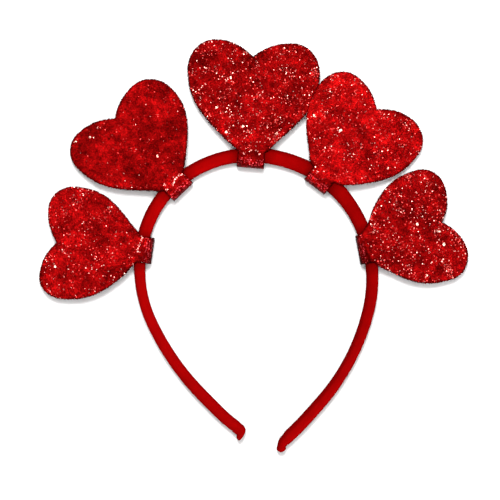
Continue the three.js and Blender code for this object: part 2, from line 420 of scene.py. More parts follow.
def legLength(side):
    return sum(length for radius, length in hoop[side])


def hoopAt(place):
    place = np.asarray(place, float)
    result = []
    for side, sign in (("left", 1), ("right", -1)):
        arcs = [(length, sign * length / radius) for radius, length in hoop[side]]
        heading = math.radians(hoop["tilt"]) + (math.pi if side == "left" else 0)
        x, y, turned = followArcs(hoop["crown"], heading, arcs, np.abs(place))
        result.append((x, y, turned - sign * np.pi / 2))
    onRight = place >= 0
    return [np.where(onRight, right, left) for left, right in zip(*result)]


def bandWidth(place):
    width = np.full(np.shape(place), float(hoop["widths"][0][1]))
    for (before, narrow), (after, wide) in zip(hoop["widths"], hoop["widths"][1:]):
        width += (wide - narrow) * smoothstep(place, before, after)
    return width


# The rounded section of the rod: a point of a circle of size 1 pushed out towards a square
def squared(x, y):
    reach = np.hypot(x, y)
    angle = np.arctan2(y, x)
    power = 2 / hoop["squareness"]
    return (np.sign(np.cos(angle)) * np.abs(np.cos(angle)) ** power * reach,
            np.sign(np.sin(angle)) * np.abs(np.sin(angle)) ** power * reach)


def finishVelvet(piece, node):
    editMesh(piece)
    bpy.ops.mesh.normals_make_consistent(inside=False)
    bpy.ops.object.mode_set(mode="OBJECT")
    bpy.ops.object.shade_smooth_by_angle(angle=math.radians(hoop["smoothAngle"]))
    piece.data.materials.clear()
    piece.data.materials.append(velvet)
    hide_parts(node)
    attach(piece, "root")


# An upright rod of width 1, cut across many times
def addRod(name, start, end, cuts):
    bpy.ops.mesh.primitive_cylinder_add(
        vertices=hoop["sides"], radius=0.5, depth=end - start, end_fill_type="NGON",
        location=(0, 0, (start + end) / 2))
    piece = added(name)
    pick(piece)
    bpy.ops.object.transform_apply(location=True)
    editMesh(piece)
    selectEdges(piece, lambda a, b: abs(a.z - b.z) > 1)  # the upright ones
    bpy.ops.mesh.subdivide(number_cuts=cuts)
    bpy.ops.object.mode_set(mode="OBJECT")
    return piece


def makeBand():
    start, end = hoop["short"] - legLength("left"), legLength("right") - hoop["short"]
    piece = addRod("velvet_band", start, end, hoop["cuts"])
    co = meshPoints(piece)
    place = co[:, 2].copy()
    across, upward = squared(co[:, 0], co[:, 1])
    x, y, outward = hoopAt(place)
    out = across * bandWidth(place)
    co[:, 0] = x + out * np.cos(outward)
    co[:, 1] = y + out * np.sin(outward)
    co[:, 2] = hoop["bottom"] + hoop["depth"] * (0.5 + upward)
    layPoints(piece, co * mm)
    # painted shadow of each tab on the velvet beside it, less a brightening along the hoop
    paintedShadowAndTone = np.zeros(len(place))
    for middle, half in hoop["tabs"]:
        paintedShadowAndTone = np.maximum(paintedShadowAndTone, 1 - smoothstep(np.abs(place - middle) - half, 0, hoop["paintedShadowReach"]))
    markPoints(piece, "paintedShadowAndTone", hoop["paintedShadowAndTone"] * paintedShadowAndTone - np.interp(place, *zip(*hoop["brightening"])))
    finishVelvet(piece, "band")


makeBand()
print("band laid along the hoop")


# Velvet turned over each tip. Each row is a section, from the rod to the very end: how far its inner point is
# ahead of the tip and out of the hoop, the same for its outer point, and its depth.
endFolds = {
    "left": [
        (-3.2, -2.95, -3.2, 3.05, 7.55),
        (-1.9, -2.8, -1.9, 3.2, 7.55),
        (-0.7, -2.6, -0.9, 3.25, 7.5),
        (0.1, -2.45, -0.45, 3.3, 7.4),
        (0.7, -2.22, -0.2, 3.95, 7.3),
        (1.2, -1.92, 0.05, 4.5, 7.2),
        (1.7, -1.52, 0.5, 4.85, 7.0),
        (2.1, -0.95, 1.2, 5.05, 6.6),
        (2.4, -0.2, 1.85, 5.05, 5.8),
        (2.55, 0.9, 2.3, 4.7, 4.4),
        (2.62, 2.1, 2.5, 3.8, 2.4),
        (2.63, 2.8, 2.6, 3.1, 0.6),
    ],
    "right": [
        (-5.02, -2.45, -3.38, 3.2, 7.55),
        (-3.3, -2.8, -2.54, 2.7, 7.55),
        (-1.9, -2.92, -1.75, 2.07, 7.5),
        (-0.7, -2.75, -1.0, 1.68, 7.4),
        (0.2, -2.65, -0.55, 1.6, 7.3),
        (0.8, -2.6, -0.2, 1.95, 7.2),
        (1.4, -2.5, 0.25, 2.1, 7.0),
        (1.95, -2.3, 0.95, 1.9, 6.5),
        (2.35, -1.9, 1.6, 1.5, 5.6),
        (2.65, -1.3, 2.2, 1.0, 4.2),
        (2.8, -0.55, 2.65, 0.35, 2.2),
        (2.85, -0.2, 2.82, 0.0, 0.6),
    ],
    "cuts": 32,
}


def makeEndFold(side):
    rows = np.array(endFolds[side])
    last = len(rows) - 1
    piece = addRod("velvet_end_" + side, 0, last, endFolds["cuts"])
    co = meshPoints(piece)
    innerAhead, inner, outerAhead, outer, depth = (
        np.interp(co[:, 2], np.arange(last + 1), column) for column in rows.T)
    across, upward = squared(co[:, 0], co[:, 1])
    share = across + 0.5  # from the inner point to the outer one
    ahead = innerAhead + (outerAhead - innerAhead) * share
    out = inner + (outer - inner) * share
    tip = legLength(side) if side == "right" else -legLength(side)
    x, y, outward = (float(value) for value in hoopAt(np.array(tip)))
    heading = outward - math.pi / 2 if side == "right" else outward + math.pi / 2
    co[:, 0] = x + ahead * math.cos(heading) + out * math.cos(outward)
    co[:, 1] = y + ahead * math.sin(heading) + out * math.sin(outward)
    co[:, 2] = hoop["bottom"] + hoop["depth"] / 2 + upward * np.minimum(depth, hoop["depth"])
    layPoints(piece, co * mm)
    finishVelvet(piece, "end_fold_" + side)


makeEndFold("left")
makeEndFold("right")
print("velvet folded over the tips")


# Hearts cut from glitter foam, each with a tab folded round the band and glued to its back
# place: where the tab crosses the hoop; lean and droop: how far the heart turns sideways and down, in degrees
# hang: how much lower its free right side is; cleft and cleftAt: the cleft's height, and how far right it is
# flare: how full the sides are above the neck
# tab: its width; leftCorner: height of its left corner, if that isn't the usual one
# fold: how far the tab reaches inwards; twist and shift: the tab's own turn and place
# tone: how bright the glitter is; sparkle: how many flakes glint
# fold shade: the fold's painted shade, brighter than the heart where above 1; under shade: how much darker
# the painted shade gets where it turns under
# glints: lines of painted highlights near the crest, pale metallic flakes with two ends and a number; clumps:
# painted highlights of pale flakes close together, a place and a number
# painted shadow lines: dark lines of painted shadow, with two ends, a width and how dark they are
# left and right: half width at the neck, greatest half width and its height, height and place of the top
hearts = {
    "heart_left_lower": {
        "place": -79.8, "lean": 3, "droop": 4, "cleft": 42, "flare": 1.7,
        "tab": 12.5, "fold": 5.75, "twist": 0, "shift": 0.45,
        "tone": 0.90, "sparkle": 0.78, "paintedFoldShade": 0.75, "paintedUnderShade": 0.6,
        "glints": [((6.2, 0.2), (5.4, 0.0), 6), ((4.4, 0.3), (2.6, 0.4), 4), ((2.0, 0.9), (-1.3, 1.6), 7)],
        "clumps": [(-12.2, 41.5, 3)],
        "paintedShadowLines": [((4.5, -1.2), (1, -0.6), 0.8, 0.45)],
        "left": (8.4, 27.6, 37.8, 49.2, 17), "right": (8.9, 28.4, 35, 47.8, 16.8)},
    "heart_left_upper": {
        "place": -41, "lean": 2, "droop": 5, "cleft": 44.4, "flare": 1.5,
        "tab": 12.5, "fold": 5.7, "twist": 2, "shift": -0.5,
        "tone": 0.725, "sparkle": 0.2, "paintedFoldShade": 1.2, "paintedUnderShade": 0.5,
        "glints": [((3.9, 1.9), (1.2, 1.4), 7), ((0.4, 1.0), (-1.6, 0.4), 7), ((5.2, 0.9), (6.0, 0.0), 4),
                   ((-5.0, 3.1), (-4.2, 2.4), 3), ((-5.6, 0.6), (-4.6, 0.0), 3)],
        "clumps": [(-15.7, 46.4, 3), (-14.5, 44.9, 1), (-22.0, 49.6, 2), (2.2, 15.4, 2)],
        "paintedShadowLines": [],
        "left": (8.7, 30.5, 40, 51.8, 19), "right": (8.5, 30.7, 35.6, 50.2, 17.4)},
    "heart_centre": {
        "place": 0, "lean": -0.5, "droop": 7, "cleft": 49.4, "flare": 1.45,
        "tab": 13, "fold": 6.25, "twist": -4.5, "shift": 0,
        "tone": 0.675, "sparkle": 1.3, "paintedFoldShade": 1.1, "paintedUnderShade": 0.35,
        "glints": [((-3.9, 0.5), (-3.3, -0.2), 6), ((3.9, 1.2), (4.3, 0.4), 5), ((3.0, 1.8), (2.4, 2.2), 2)],
        "clumps": [(-17.9, 23.4, 6), (-4.1, 13.9, 4), (-12.4, 11.1, 3), (-11.1, 38.7, 3), (-0.3, 11, 2),
                   (12.4, 10.7, 3)],
        "paintedShadowLines": [((-2, 0.9), (2.5, 0.8), 0.9, 0.5), ((-4.6, -3.4), (-4.9, -4.6), 0.8, 0.6),
                  ((3.8, -3.9), (4.6, -4.6), 0.6, 0.5)],
        "left": (8, 32.4, 43, 57.9, 18.8), "right": (8.4, 33.4, 41.3, 56.5, 20)},
    "heart_right_upper": {
        "place": 38.8, "lean": -1, "droop": 0.5, "hang": 5.0, "cleft": 43, "flare": 1.6,
        "tab": 12, "fold": 6.1, "twist": -1, "shift": -1.3,
        "tone": 1.035, "sparkle": 0.9, "paintedFoldShade": 1.05, "paintedUnderShade": 0.5,
        "glints": [((-3.5, 0.9), (-2.9, 0.2), 5)],
        "clumps": [(-22.7, 22, 5), (21.7, 23.6, 3), (-8.2, 23.9, 3)],
        "paintedShadowLines": [((-6, -2.0), (6, -2.3), 0.5, 0.6), ((3, 0.2), (6, 0.4), 1.2, 0.5)],
        "left": (10.3, 30.1, 36.6, 50, 17.7), "right": (10.1, 30.1, 38, 49.9, 17.7)},
    "heart_right_lower": {
        "place": 81.1, "lean": 3, "droop": 6, "cleft": 38.8, "cleftAt": -2.0, "flare": 1.75,
        "tab": 14, "leftCorner": -3.1, "fold": 5.3, "twist": -3, "shift": 0,
        "tone": 0.765, "sparkle": 1.5, "paintedFoldShade": 0.65, "paintedUnderShade": 0.75,
        "glints": [((-2.4, 0.0), (-0.8, 0.8), 2), ((3.6, 0.9), (3.9, 1.2), 1)],
        "clumps": [(-4.9, 26.6, 6), (8.5, 36.6, 7), (21, 23.5, 5), (1.6, 35.7, 5)],
        "paintedShadowLines": [((-4, -2.0), (3, -1.6), 0.5, 0.5), ((2.5, -1.4), (7, -0.9), 1.1, 0.7)],
        "left": (13.2, 30.5, 33.7, 45.2, 18.8), "right": (10, 26.5, 35.5, 47.1, 14.2)},
}
sheet = {
    "thickness": 1.4,
    "front": 10.5,  # height of the sheet's middle over the band
    "back": 0.9,  # and under it
    "neckHeight": 3,
    "neckLength": 8,  # the tab runs into the heart over this length
    "bendRadius": 2.2,
    "softRadius": 4.0,  # where the tab leaves the surface, and where it meets the heart's back
    "backEnd": 4,
    "lapStart": 14,
    "lapEnd": 23,
    "lapGap": 0.3,
    "crestHalf": 2,  # half the length of the bend over the band
    "outer": 70,  # the route starts this far out
    "edgeRound": 0.35,
    "sharpAngle": 60,  # edges sharper than this are rounded
    "smoothAngle": 50,
    # slow waves in the sheet, and where along it they grow
    "waves": {"height": 0.11, "across": 6.1, "along": 7.3, "slant": 4.1, "slantShare": 0.6, "grow": (8, 20)},
    "hangAlong": (3, 24),  # where a free side starts to hang, and where it is lowest
    "hangAcross": (5, 28),
    # how far inwards the fold's painted shade starts and is full, and how far before its end the painted
    # shade darkens further
    "foldShading": (1.2, 2.6),
    "underShading": (1.0, 0.2),
}
# lines that cut the flat sheet: step apart, or bendStep where it bends by more than sharpBend
# curveSteps: short straights along each side of the outline
grid = {"step": 2.5, "bendStep": 0.45, "sharpBend": 0.3, "halfWidth": 35, "top": 60, "endGap": 0.2,
        "curveSteps": 16}
handles = {"lowReach": 0.45, "lowRise": 0.38, "wideDrop": 0.42, "lobe": 0.55, "cleftReach": 0.18,
           "cleftRise": 0.35}


# The sheet's middle line seen from the side, from the heart's far end over the band and back under it
def sideRoute(heart):
    droop = math.radians(heart["droop"])
    slope = math.tan(droop)
    half = sheet["thickness"] / 2
    fold = half - heart["fold"]

    def lapPoint(out):
        return out, sheet["front"] - half - out * slope - sheet["lapGap"] - half

    corners = [
        ((sheet["outer"], sheet["front"] - sheet["outer"] * slope), 0),
        ((0, sheet["front"]), sheet["crestHalf"] / math.tan(droop / 2)),
        ((fold, sheet["front"]), sheet["bendRadius"]),
        ((fold, sheet["back"]), sheet["bendRadius"]),
        ((sheet["backEnd"], sheet["back"]), sheet["softRadius"]),
        (lapPoint(sheet["lapStart"]), sheet["softRadius"]),
        (lapPoint(sheet["lapEnd"]), 0),
    ]
    arcs = []
    used = 0  # length of the present straight taken up by the last bend
    heading = None
    ends = [point for point, radius in corners[1:]]
    for (point, radius), following in zip(corners, ends):
        step = np.subtract(following, point)
        along = math.atan2(step[1], step[0])
        if heading is None:
            startHeading = along
        else:
            bend = (along - heading + math.pi) % (2 * math.pi) - math.pi
            cut = radius * math.tan(abs(bend) / 2)
            last, lastBend = arcs[-1]
            arcs[-1] = (last - cut, lastBend)
            arcs.append((radius * abs(bend), bend))
            used = cut
        arcs.append((float(np.hypot(*step)) - used, 0.0))
        heading = along
    return corners[0][0], startHeading, arcs


# Where a point of the flat sheet ends up: across, along from the crest outwards, and above the middle
def bendSheet(heart, across, along, above):
    start, heading, arcs = heart["route"]
    distance = heart["crestAt"] - along
    v, height, turned = followArcs(start, heading, arcs, distance)
    # slow waves, dying out towards the tab
    waves = sheet["waves"]
    seed = heart["place"]
    wave = np.sin(across / waves["across"] + seed) * np.sin(along / waves["along"] + 2 * seed)
    wave += waves["slantShare"] * np.sin((across + along) / waves["slant"] + 3 * seed)
    lift = above + waves["height"] * wave * smoothstep(along, *waves["grow"])
    # a free side hangs lower
    hang = heart.get("hang", 0) * smoothstep(along, *sheet["hangAlong"])
    hang = hang * smoothstep(across, *sheet["hangAcross"])
    v = v + lift * np.sin(turned)
    height = height - lift * np.cos(turned) - hang
    onTab = 1 - smoothstep(along, 0, sheet["neckLength"])
    turn = np.radians(heart["lean"] + (heart["twist"] - heart["lean"]) * onTab)
    u = across * np.cos(turn) - v * np.sin(turn) + heart["shift"] * onTab
    v = across * np.sin(turn) + v * np.cos(turn)
    x, y, outward = heart["seat"]
    east, north = np.sin(outward), -np.cos(outward)  # direction of u
    return np.stack([x + u * east + v * np.cos(outward),
                     y + u * north + v * np.sin(outward), height], -1)


def heartOutline(heart):
    low = sheet["neckHeight"]
    cleft = (heart.get("cleftAt", 0), heart["cleft"])
    end = -heart["tabLength"]
    half = heart["tab"] / 2

    def lobe(side, sign):
        neck, reach, wide, top, topAt = side
        rise = wide - low
        lowReach = (reach - neck) * handles["lowReach"] * heart["flare"]
        return {
            "neck": (sign * neck, low),
            "neckOut": (sign * (neck + lowReach), low + rise * handles["lowRise"]),
            "wideBelow": (sign * reach, wide - rise * handles["wideDrop"]),
            "wide": (sign * reach, wide),
            "wideAbove": (sign * reach, wide + handles["lobe"] * (top - wide)),
            "topOut": (sign * (topAt + handles["lobe"] * (reach - topAt)), top),
            "top": (sign * topAt, top),
            "topIn": (sign * topAt * (1 - handles["lobe"]), top),
            "cleftHandle": (cleft[0] + sign * handles["cleftReach"] * topAt,
                            cleft[1] + (top - cleft[1]) * handles["cleftRise"]),
        }

    left, right = lobe(heart["left"], -1), lobe(heart["right"], 1)
    corner = low / 2
    # point, handle before it and handle after it; None is a straight side
    return [
        ((-half, heart.get("leftCorner", corner)), None, None),
        (left["neck"], None, left["neckOut"]),
        (left["wide"], left["wideBelow"], left["wideAbove"]),
        (left["top"], left["topOut"], left["topIn"]),
        (cleft, left["cleftHandle"], right["cleftHandle"]),
        (right["top"], right["topIn"], right["topOut"]),
        (right["wide"], right["wideAbove"], right["wideBelow"]),
        (right["neck"], right["neckOut"], None),
        ((half, corner), None, None),
        ((half, end), None, None),
        ((0, end), None, None),
        ((-half, end), None, None),
    ]


# The flat cut: a Bezier circle pulled to the outline, filled, then cut into a grid
def cutSheet(name, heart):
    bpy.ops.curve.primitive_bezier_circle_add()
    piece = added(name + "_foam")
    pick(piece)
    bpy.ops.object.mode_set(mode="EDIT")
    bpy.ops.curve.select_all(action="SELECT")
    bpy.ops.curve.subdivide(number_cuts=2)  # 4 knots become 12, as many as the outline has
    bpy.ops.object.mode_set(mode="OBJECT")
    outline = heartOutline(heart)
    spline = piece.data.splines[0]
    piece.data.resolution_u = grid["curveSteps"]
    count = len(outline)
    for i, (point, before, after) in enumerate(outline):
        previous, following = outline[i - 1][0], outline[(i + 1) % count][0]
        knot = spline.bezier_points[i]
        knot.handle_left_type = knot.handle_right_type = "FREE"
        knot.co = (*point, 0)
        knot.handle_left = (*(before or np.add(point, np.subtract(previous, point) / 3)), 0)
        knot.handle_right = (*(after or np.add(point, np.subtract(following, point) / 3)), 0)
    pick(piece)
    bpy.ops.object.convert(target="MESH")
    rim = meshPoints(piece)[:, :2].copy()
    editMesh(piece)
    bpy.ops.mesh.edge_face_add()
    columns = np.arange(-grid["halfWidth"], grid["halfWidth"] + 1, grid["step"])
    cuts = [((x, 0, 0), (1, 0, 0)) for x in columns]
    cuts += [((0, y, 0), (0, 1, 0)) for y in gridLines(heart)]
    for place, direction in cuts:
        bpy.ops.mesh.select_all(action="SELECT")
        bpy.ops.mesh.bisect(plane_co=place, plane_no=direction)
    bpy.ops.object.mode_set(mode="OBJECT")
    if piece.data.polygons[0].normal.z < 0:
        editMesh(piece)
        bpy.ops.mesh.flip_normals()
        bpy.ops.object.mode_set(mode="OBJECT")
    return piece, rim


# Lines across the sheet: close together in the bends, further apart on the flat
def gridLines(heart):
    lines = []
    distance = 0
    for length, bend in heart["route"][2]:
        step = grid["bendStep"] if abs(bend) > grid["sharpBend"] else grid["step"]
        lines += list(distance + np.arange(0, length, step))
        distance += length
    lines = heart["crestAt"] - np.array(lines)
    return lines[(lines < grid["top"]) & (lines > grid["endGap"] - heart["tabLength"])]


def lineDistance(points, start, end):
    side = np.subtract(end, start)
    share = np.clip((points - start) @ side / (side @ side), 0, 1)
    return np.hypot(*(points - start - share[:, None] * side).T)


# Painted shade on the fold: its own painted shade, darkest along the painted shadow lines and where it turns
# under
def paintedTabShade(heart, points):
    inwards = -points[:, 1]
    darkens, darkest = sheet["underShading"]
    shade = 1 - (1 - heart["paintedFoldShade"]) * smoothstep(inwards, *sheet["foldShading"])
    shade *= 1 - heart["paintedUnderShade"] * smoothstep(inwards, heart["fold"] - darkens, heart["fold"] - darkest)
    for start, end, width, depth in heart["paintedShadowLines"]:
        shade *= 1 - depth * np.exp(-(lineDistance(points, start, end) / width) ** 2)
    return shade


def makeHeart(name, heart):
    heart["route"] = sideRoute(heart)
    arcs = heart["route"][2]
    # the crest is the middle of the bend over the band
    heart["crestAt"] = arcs[0][0] + arcs[1][0] / 2
    heart["tabLength"] = sum(length for length, bend in arcs) - heart["crestAt"]
    heart["seat"] = [float(value) for value in hoopAt(np.array(heart["place"]))]
    piece, rim = cutSheet(name, heart)
    heart["rim"] = rim
    flatArea = sum(face.area for face in piece.data.polygons)
    low, high = rim.min(0), rim.max(0)
    for material in (glitterBed, foam):
        piece.data.materials.append(material)
    finishWith(piece, "SOLIDIFY", thickness=sheet["thickness"], offset=0,
               material_offset=1, material_offset_rim=1)
    finishWith(piece, "BEVEL", width=sheet["edgeRound"], segments=2, limit_method="ANGLE",
               angle_limit=math.radians(sheet["sharpAngle"]))
    co = meshPoints(piece)
    # the heart's tone times the fold's painted shade
    markPoints(piece, "glitterToneAndShade", paintedTabShade(heart, co[:, :2]) * heart["tone"])
    layPoints(piece, bendSheet(heart, co[:, 0], co[:, 1], co[:, 2]) * mm)
    pick(piece)
    bpy.ops.object.shade_smooth_by_angle(angle=math.radians(sheet["smoothAngle"]))
    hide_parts(name)
    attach(piece, "root")
    heart["flat"] = ((high[0] - low[0]) * mm, (high[1] - low[1]) * mm, flatArea * mm * mm)
    return piece


# Glitter: six sided flakes bedded in the face, each a shallow point set into the foam
flakes = {
    "perArea": 4.6,  # flakes on a square millimetre
    "perEdge": 7.0,  # flakes on a millimetre of cut edge
    "corners": 6,
    "size": (0.24, 0.46),  # smallest and largest radius
    "sizePower": 1.5,  # above 1, small flakes are more common
    "ragged": (0.85, 1.1),  # a corner's share of the radius
    "depth": 0.22,
    "lift": (0.02, 0.16),
    "edgeLift": (0.0, 0.34),
    "lowest": 0.02,
    "tilt": 8.5,  # spread in degrees
    "sparkTilt": 13,
    "towardsLight": (-0.02, 0.155, 0.988),  # sparkles are the flakes that happen to face the light
    "level": 0.85,  # the sheet counts as level where it faces up this much
    "nearlyAll": 0.9,  # a direction with this share along an axis counts as along it
    "edgeRoll": 0.5,  # edge flakes turn up towards the front and down towards the back
    "red": (0.235, 0.0016, 0.0018),
    "shadeSpread": 0.09,
    # white, rose, glint and clump flakes: metallic, with pale colours that are partly painted sparkle
    # highlights
    "rose": {"share": 0.06, "size": (0.22, 0.36), "colour": (0.68, 0.055, 0.05), "dimmest": 0.4},
    "white": {"share": 0.02, "size": (0.21, 0.35), "colour": (0.95, 0.44, 0.38), "rosiest": 0.5},
    "glint": {"size": (0.24, 0.42), "tilt": 6, "colour": (0.75, 0.28, 0.25), "spread": 0.25, "dimmest": 0.5},
    "clump": {"grow": 1.5, "colour": (0.82, 0.43, 0.35), "spread": 0.3, "brightPower": 0.5},
    # pale streaks along the fold, a gap apart and a little bowed
    "streak": {"share": 0.95, "size": (0.18, 0.3), "colour": (0.5, 0.035, 0.045), "toneSpread": 0.3,
               "gap": 1.0, "bow": 0.15, "bowRate": 1.3, "narrow": 3, "starts": (1.6, 2.4)},
    # sparkles gather in places, and few are on the tab and the edges
    "gather": 0.6,
    "gatherLengths": (6, 7.5, 9, 11, 13.5, 16),
    "tabSparkle": 0.15,
    "tabEnd": (-1.5, 4.0),
    "edgeSparkle": 0.2,
    # painted shade near the cut and on the cut edge
    "paintedRimShade": 0.4,
    "paintedRimReach": (0.1, 0.9),
    "paintedEdgeShade": 0.5,
    "seed": 11,
}


def insideOutline(points, rim):
    inside = np.zeros(len(points), bool)
    x, y = points.T
    for (x0, y0), (x1, y1) in zip(rim, np.roll(rim, -1, 0)):
        if y0 == y1:
            continue
        crossing = (y0 > y) != (y1 > y)
        inside ^= crossing & (x < (x1 - x0) * (y - y0) / (y1 - y0) + x0)
    return inside


def rimDistance(points, rim):
    nearest = np.full(len(points), np.inf)
    for start, end in zip(rim, np.roll(rim, -1, 0)):
        nearest = np.minimum(nearest, lineDistance(points, start, end))
    return nearest


# A slow random field over the sheet, round 0
def slowField(points, rng):
    field = np.zeros(len(points))
    for length in flakes["gatherLengths"]:
        angle, phase = rng.uniform(0, 2 * np.pi, 2)
        along = points[:, 0] * np.cos(angle) + points[:, 1] * np.sin(angle)
        field += np.sin(2 * np.pi * along / length + phase)
    return field / math.sqrt(len(flakes["gatherLengths"]) / 2)


# Painted shade on each flake: darker near the cut and on the cut edge, with the fold's painted shade and the
# heart's tone
def flakeShade(heart, spots, onEdge):
    paintedRimShade = flakes["paintedRimShade"]
    inwards = smoothstep(rimDistance(spots[:, :2], heart["rim"]), *flakes["paintedRimReach"])
    shade = paintedRimShade + (1 - paintedRimShade) * inwards
    shade *= np.where(onEdge, flakes["paintedEdgeShade"] / paintedRimShade, 1)
    return shade * paintedTabShade(heart, spots[:, :2]) * heart["tone"]


def faceSpots(rim, rng):
    low, high = rim.min(0), rim.max(0)
    tries = int(np.prod(high - low) * flakes["perArea"])
    spots = low + rng.random((tries, 2)) * (high - low)
    return spots[insideOutline(spots, rim)]


# Places along the cut edges, and the way each one faces
def edgeSpots(rim, rng):
    following = np.roll(rim, -1, 0)
    sides = following - rim
    lengths = np.hypot(*sides.T)
    count = int(lengths.sum() * flakes["perEdge"])
    side = rng.choice(len(rim), count, p=lengths / lengths.sum())
    edge = rim[side] + sides[side] * rng.random(count)[:, None]
    out = np.column_stack([sides[side][:, 1], -sides[side][:, 0]]) / lengths[side][:, None]
    clockwise = np.sum(rim[:, 0] * following[:, 1] - following[:, 0] * rim[:, 1]) < 0
    if clockwise:
        out = -out
    height = rng.uniform(-0.5, 0.5, count) * sheet["thickness"]
    return np.column_stack([edge, height]), unit(np.column_stack([out, flakes["edgeRoll"] * height]))


# Places for painted highlights: in lines near the crest, then in clumps
def glintSpots(heart, rng):
    spots = [np.linspace(start, end, number) + rng.normal(0, flakes["glint"]["spread"], (number, 2))
             for start, end, number in heart["glints"]]
    spots += [(x, y) + rng.normal(0, flakes["clump"]["spread"], (number, 2))
              for x, y, number in heart["clumps"]]
    return np.vstack(spots)


def flakeSpots(heart, rng):
    face = faceSpots(heart["rim"], rng)
    edge, edgeUp = edgeSpots(heart["rim"], rng)
    glints = glintSpots(heart, rng)
    flat = np.vstack([glints, face])
    flat = np.column_stack([flat, np.full(len(flat), sheet["thickness"] / 2)])
    flatUp = np.tile((0.0, 0.0, 1.0), (len(flat), 1))
    return np.vstack([flat, edge]), np.vstack([flatUp, edgeUp]), len(glints)


# Which flakes are white or rose, partly painted sparkle highlights, or part of a streak
def sortFlakes(heart, spots, onEdge, glints, rng):
    count = len(spots)
    across, along = spots[:, 0], spots[:, 1]
    white, rose, streak = flakes["white"], flakes["rose"], flakes["streak"]
    gather = np.exp(flakes["gather"] * slowField(spots, rng) - flakes["gather"] ** 2 / 2)
    fewest = flakes["tabSparkle"]
    gather *= heart["sparkle"] * (fewest + (1 - fewest) * smoothstep(along, *flakes["tabEnd"]))
    gather = np.where(onEdge, flakes["edgeSparkle"], gather)
    draw = rng.random(count) / gather
    isWhite = draw < white["share"]
    isWhite[glints] = True
    isRose = ~isWhite & (draw < white["share"] + rose["share"])
    bowed = along + streak["bow"] * np.sin(across * streak["bowRate"])
    wave = 0.5 + 0.5 * np.sin(2 * np.pi * bowed / streak["gap"])
    often = streak["share"] * smoothstep(-along, *streak["starts"]) * wave ** streak["narrow"]
    isStreak = ~isWhite & ~isRose & ~onEdge & (rng.random(count) < often)
    return {"white": isWhite, "rose": isRose, "streak": isStreak, "spark": isRose | isWhite}


def flakeSizes(kinds, glints, clumps, rng):
    count = len(kinds["spark"])
    least, most = flakes["size"]
    size = least + (most - least) * rng.random(count) ** flakes["sizePower"]
    for kind in ("rose", "white", "streak"):
        size = np.where(kinds[kind], rng.uniform(*flakes[kind]["size"], count), size)
    size[glints] = rng.uniform(*flakes["glint"]["size"], glints.stop)
    size[clumps] *= flakes["clump"]["grow"]
    return size


# How far each flake leans two ways, and how high it sits
def flakeLean(kinds, onEdge, glints, rng):
    count = len(onEdge)
    spread = np.where(kinds["spark"], flakes["sparkTilt"], flakes["tilt"])
    spread[glints] = flakes["glint"]["tilt"]
    lean = np.radians(rng.normal(0, 1, (count, 2)) * spread[:, None])
    lift = np.where(onEdge, rng.uniform(*flakes["edgeLift"], count), rng.uniform(*flakes["lift"], count))
    return lean, np.where(kinds["streak"], flakes["lift"][1], lift)


# The sheet's own directions at each flake, taken from small steps
def sheetDirections(heart, spots, up):
    little = 0.01
    at = bendSheet(heart, *spots.T)
    steps = []
    for axis in range(3):
        moved = spots.copy()
        moved[:, axis] += little
        steps.append(unit(bendSheet(heart, *moved.T) - at))
    normal = sum(steps[axis] * up[:, axis][:, None] for axis in range(3))
    helper = np.where(np.abs(up[:, :1]) < flakes["nearlyAll"], steps[0], steps[1])
    sideways = unit(np.cross(normal, helper))
    return at, normal, sideways, np.cross(sideways, normal)


# Flakes settle nearly level wherever the sheet is nearly level
def tiltFlakes(normal, sideways, forward, isSpark, lean):
    facing = np.where(isSpark[:, None], np.array(flakes["towardsLight"]), (0.0, 0.0, 1.0))
    facing = np.where(normal[:, 2:] > flakes["level"], facing, normal)
    tilted = unit(facing + sideways * np.tan(lean[:, :1]) + forward * np.tan(lean[:, 1:]))
    sideways = unit(np.cross(tilted, forward))
    return tilted, sideways, np.cross(sideways, tilted)


# The corners of each flake, then its point in the foam
def flakePoints(centre, tilted, sideways, forward, size, rng):
    count = len(size)
    turn = 2 * np.pi / flakes["corners"]
    spin = rng.uniform(0, turn, count)
    points = []
    for k in range(flakes["corners"]):
        angle = spin + k * turn
        reach = size * rng.uniform(*flakes["ragged"], count)
        points.append(centre + (forward * (np.cos(angle) * reach)[:, None]
                                + sideways * (np.sin(angle) * reach)[:, None]))
    points.append(centre - tilted * flakes["depth"])
    co = np.stack(points, 1)
    co[..., 2] = np.maximum(co[..., 2], flakes["lowest"])
    return co


def flakeColours(heart, spots, onEdge, kinds, glints, clumps, rng):
    count = len(spots)
    white, rose, streak = flakes["white"], flakes["rose"], flakes["streak"]
    glint, clump = flakes["glint"], flakes["clump"]
    shade = np.exp(rng.normal(0, flakes["shadeSpread"], count)) * flakeShade(heart, spots, onEdge)
    colour = np.array(flakes["red"]) * shade[:, None]
    # the pale colours of white, rose, glint and clump flakes are partly painted sparkle highlights, on
    # metallic flakes that also reflect
    rosy = white["rosiest"] * rng.random((count, 1)) ** 2
    bright = rose["dimmest"] + (1 - rose["dimmest"]) * rng.random((count, 1))
    colour = np.where(kinds["rose"][:, None], np.array(rose["colour"]) * bright, colour)
    # the streaks carry the fold's painted shade
    bright = paintedTabShade(heart, spots[:, :2])[:, None] * np.exp(rng.normal(0, streak["toneSpread"], (count, 1)))
    colour = np.where(kinds["streak"][:, None], np.array(streak["colour"]) * bright, colour)
    pale = np.array(white["colour"]) * (1 - rosy) + np.array(rose["colour"]) * rosy
    colour = np.where(kinds["white"][:, None], pale, colour)
    bright = rng.uniform(glint["dimmest"], 1, (glints.stop, 1))
    colour[glints] = np.array(glint["colour"]) * bright
    colour[clumps] = np.array(clump["colour"]) * bright[clumps] ** clump["brightPower"]
    return np.clip(colour, 0, 1)


